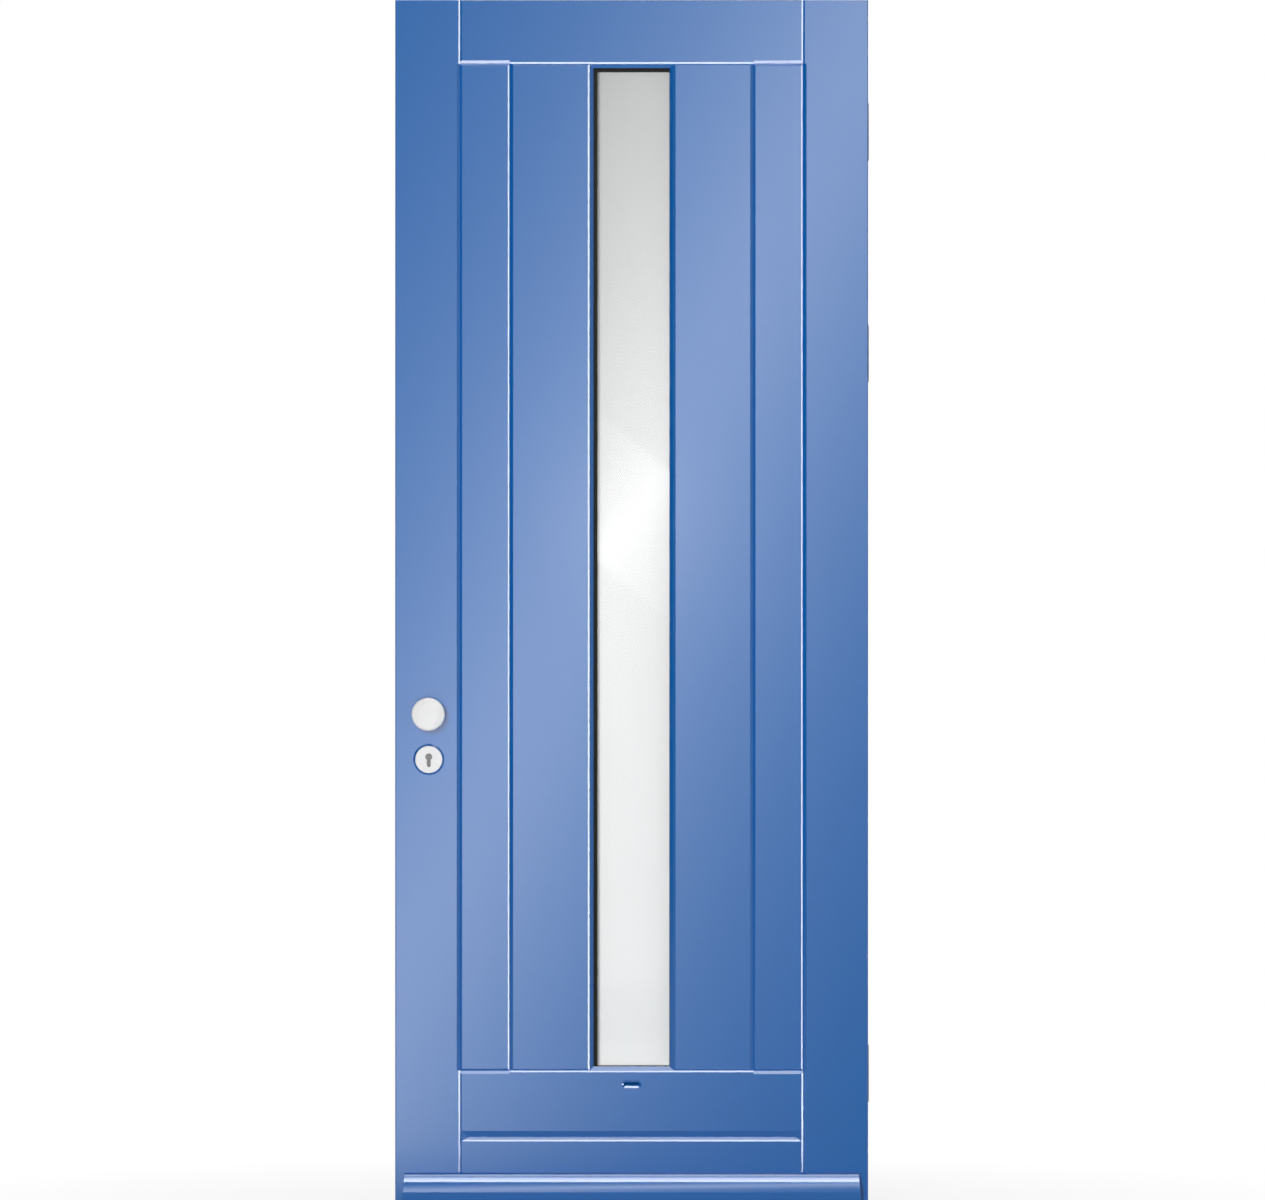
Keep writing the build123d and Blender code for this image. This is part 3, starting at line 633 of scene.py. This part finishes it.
# The floor: the gap under the door, its half width, its own white beside the door, and where that grows
FLOOR_GAP = 0.004
FLOOR_REACH = 9.0
FLOOR_GLOW = 0.85
FLOOR_GLOW_NEAR = 0.5
FLOOR_GLOW_FAR = 1.4
floor_z = leaf_low[2] - FLOOR_GAP
floor_white = white_stage("floor_pale", FLOOR_PALE, FLOOR_GLOW, FLOOR_GLOW_NEAR, FLOOR_GLOW_FAR)
floor = sheet_object("floor", flat_corners(FLOOR_REACH, FLOOR_REACH), floor_white)
floor.location = (MIDDLE.x, 0, floor_z)
floor.visible_glossy = False

# Cards seen only in reflections: a graded one for the light band, with a short one for the streak before it;
# a dark one at the far left; a bright one far off to the right, which glints in the upright bevels; bright ones
# below, which glint in the bevels under the top rail; soft ones overhead, which light the weatherboard's round
# front; and pale ones on the floor, which hide the bright ones from the rest of the door
CARD_REACH = 3.0
BAND_HALF_SIZE = (2.2, 2.6)
STREAK_GAP = 0.05
STREAK_HALF_WIDTH = 0.6
DARK_REACH = 6.0
GLINT_AWAY = Vector((34.6, -20.0, -0.8))
GLINT_HALF_SIZE = (2.8, 6.3)
OVERHEAD_RISE = 2.5
OVERHEAD_BEFORE = 3.4
OVERHEAD_HALF_DEPTH = 2.45
OVERHEAD_FADES = (0.15, 2.2)
LEDGE_BEFORE = 0.34
LEDGE_HALF_DEPTH = 0.30
WIDE_HALF = 1.2
BRIGHT_HALF_WIDTH = 0.55
CARD_LIFT = 0.001

# Down and up, tilted a little, because a card that faces along Z itself has no upright side
ALMOST_DOWN = (0, 0.02, -1.0)
ALMOST_UP = (0, 0.001, 1.0)

# Each bright card below: how far before the door and below its middle, the way it faces, half its height
BRIGHT_CARDS = {
    "bright_card_boards": (1.68, 1.555, (0, 0.552, 0.834), 0.22),
    "bright_card_surrounds": (0.93, 1.92, (0, 0.30, 0.954), 0.11),
}

# Each pale card: where it begins and ends before the door
FLOOR_CARDS = {"floor_card_near": (0.03, 0.56), "floor_card_far": (0.745, 1.13)}

# How bright the even cards are
DARK_LEVEL = 0.02
BRIGHT_LEVEL = 25.0
GLINT_LEVEL = 27.0
OVERHEAD_LEVEL = 32.0
LEDGE_LEVEL = 8.0
FLOOR_LEVEL = 0.8


def reflected_card(name, half_width, half_height, place, material):
    """A flat card that shows only in reflections."""
    card = sheet_object(name, flat_corners(half_width, half_height), material)
    card.matrix_world = place
    card.visible_camera = False
    card.visible_diffuse = False
    card.visible_shadow = False
    card.visible_transmission = False


def graded_card(name, pixels, fades, level, half_width, half_height, reach, seen_through):
    """A graded card whose bright middle is mirrored in the door along a line between two picture pixels.

    With no half height it is as long as that line.
    """
    low, high = (band_point(pixel, reach) for pixel in pixels)
    along = high - low
    lean = math.atan2(along.x, along.z)
    pixel_size = scale * (1 + reach / distance)
    material = graded_card_material(
        name, level, fades[0] * pixel_size, fades[1] * pixel_size, seen_through)
    place = facing((low + high) / 2, (0, -1, 0), turn=-lean)
    reflected_card(name, half_width, half_height or along.length / 2, place, material)


graded_card("band_card", (BAND_LOW_PIXEL, BAND_HIGH_PIXEL), (BAND_FADE_LEFT, BAND_FADE_RIGHT),
            BAND_LEVEL, *BAND_HALF_SIZE, CARD_REACH, 0.0)
graded_card("streak_card", (STREAK_LOW_PIXEL, STREAK_HIGH_PIXEL), (STREAK_FADE, STREAK_FADE),
            STREAK_LEVEL, STREAK_HALF_WIDTH, None, CARD_REACH - STREAK_GAP, 1.0)
far_left = facing((MIDDLE.x - DARK_REACH, -DARK_REACH / 2, DARK_REACH / 2), (1, 0, 0))
reflected_card("dark_card_left", DARK_REACH / 2, DARK_REACH / 2, far_left,
               card_material("dark_card", DARK_LEVEL))
far_right = facing(MIDDLE + GLINT_AWAY, (-GLINT_AWAY.x, -GLINT_AWAY.y, 0))
reflected_card("glint_card", *GLINT_HALF_SIZE, far_right, card_material("glint_card", GLINT_LEVEL))
bright = card_material("bright_card", BRIGHT_LEVEL)
for name, (before, below, way, half_height) in BRIGHT_CARDS.items():
    place = facing((MIDDLE.x, -before, MIDDLE.z - below), way)
    reflected_card(name, BRIGHT_HALF_WIDTH, half_height, place, bright)
overhead = facing((MIDDLE.x, -OVERHEAD_BEFORE, MIDDLE.z + OVERHEAD_RISE), ALMOST_DOWN, turn=math.pi / 2)
reflected_card("overhead_card", OVERHEAD_HALF_DEPTH, WIDE_HALF, overhead,
               graded_card_material("overhead_card", OVERHEAD_LEVEL, *OVERHEAD_FADES, 0.0))
over_ledge = facing((MIDDLE.x, -LEDGE_BEFORE, MIDDLE.z + OVERHEAD_RISE), ALMOST_DOWN)
reflected_card("ledge_card", WIDE_HALF, LEDGE_HALF_DEPTH, over_ledge,
               card_material("ledge_card", LEDGE_LEVEL))
pale = card_material("floor_card", FLOOR_LEVEL)
for name, (near, far) in FLOOR_CARDS.items():
    on_floor = facing((MIDDLE.x, -(near + far) / 2, floor_z + CARD_LIFT), ALMOST_UP)
    reflected_card(name, WIDE_HALF, (far - near) / 2, on_floor, pale)

bpy.context.scene.view_settings.view_transform = "Standard"
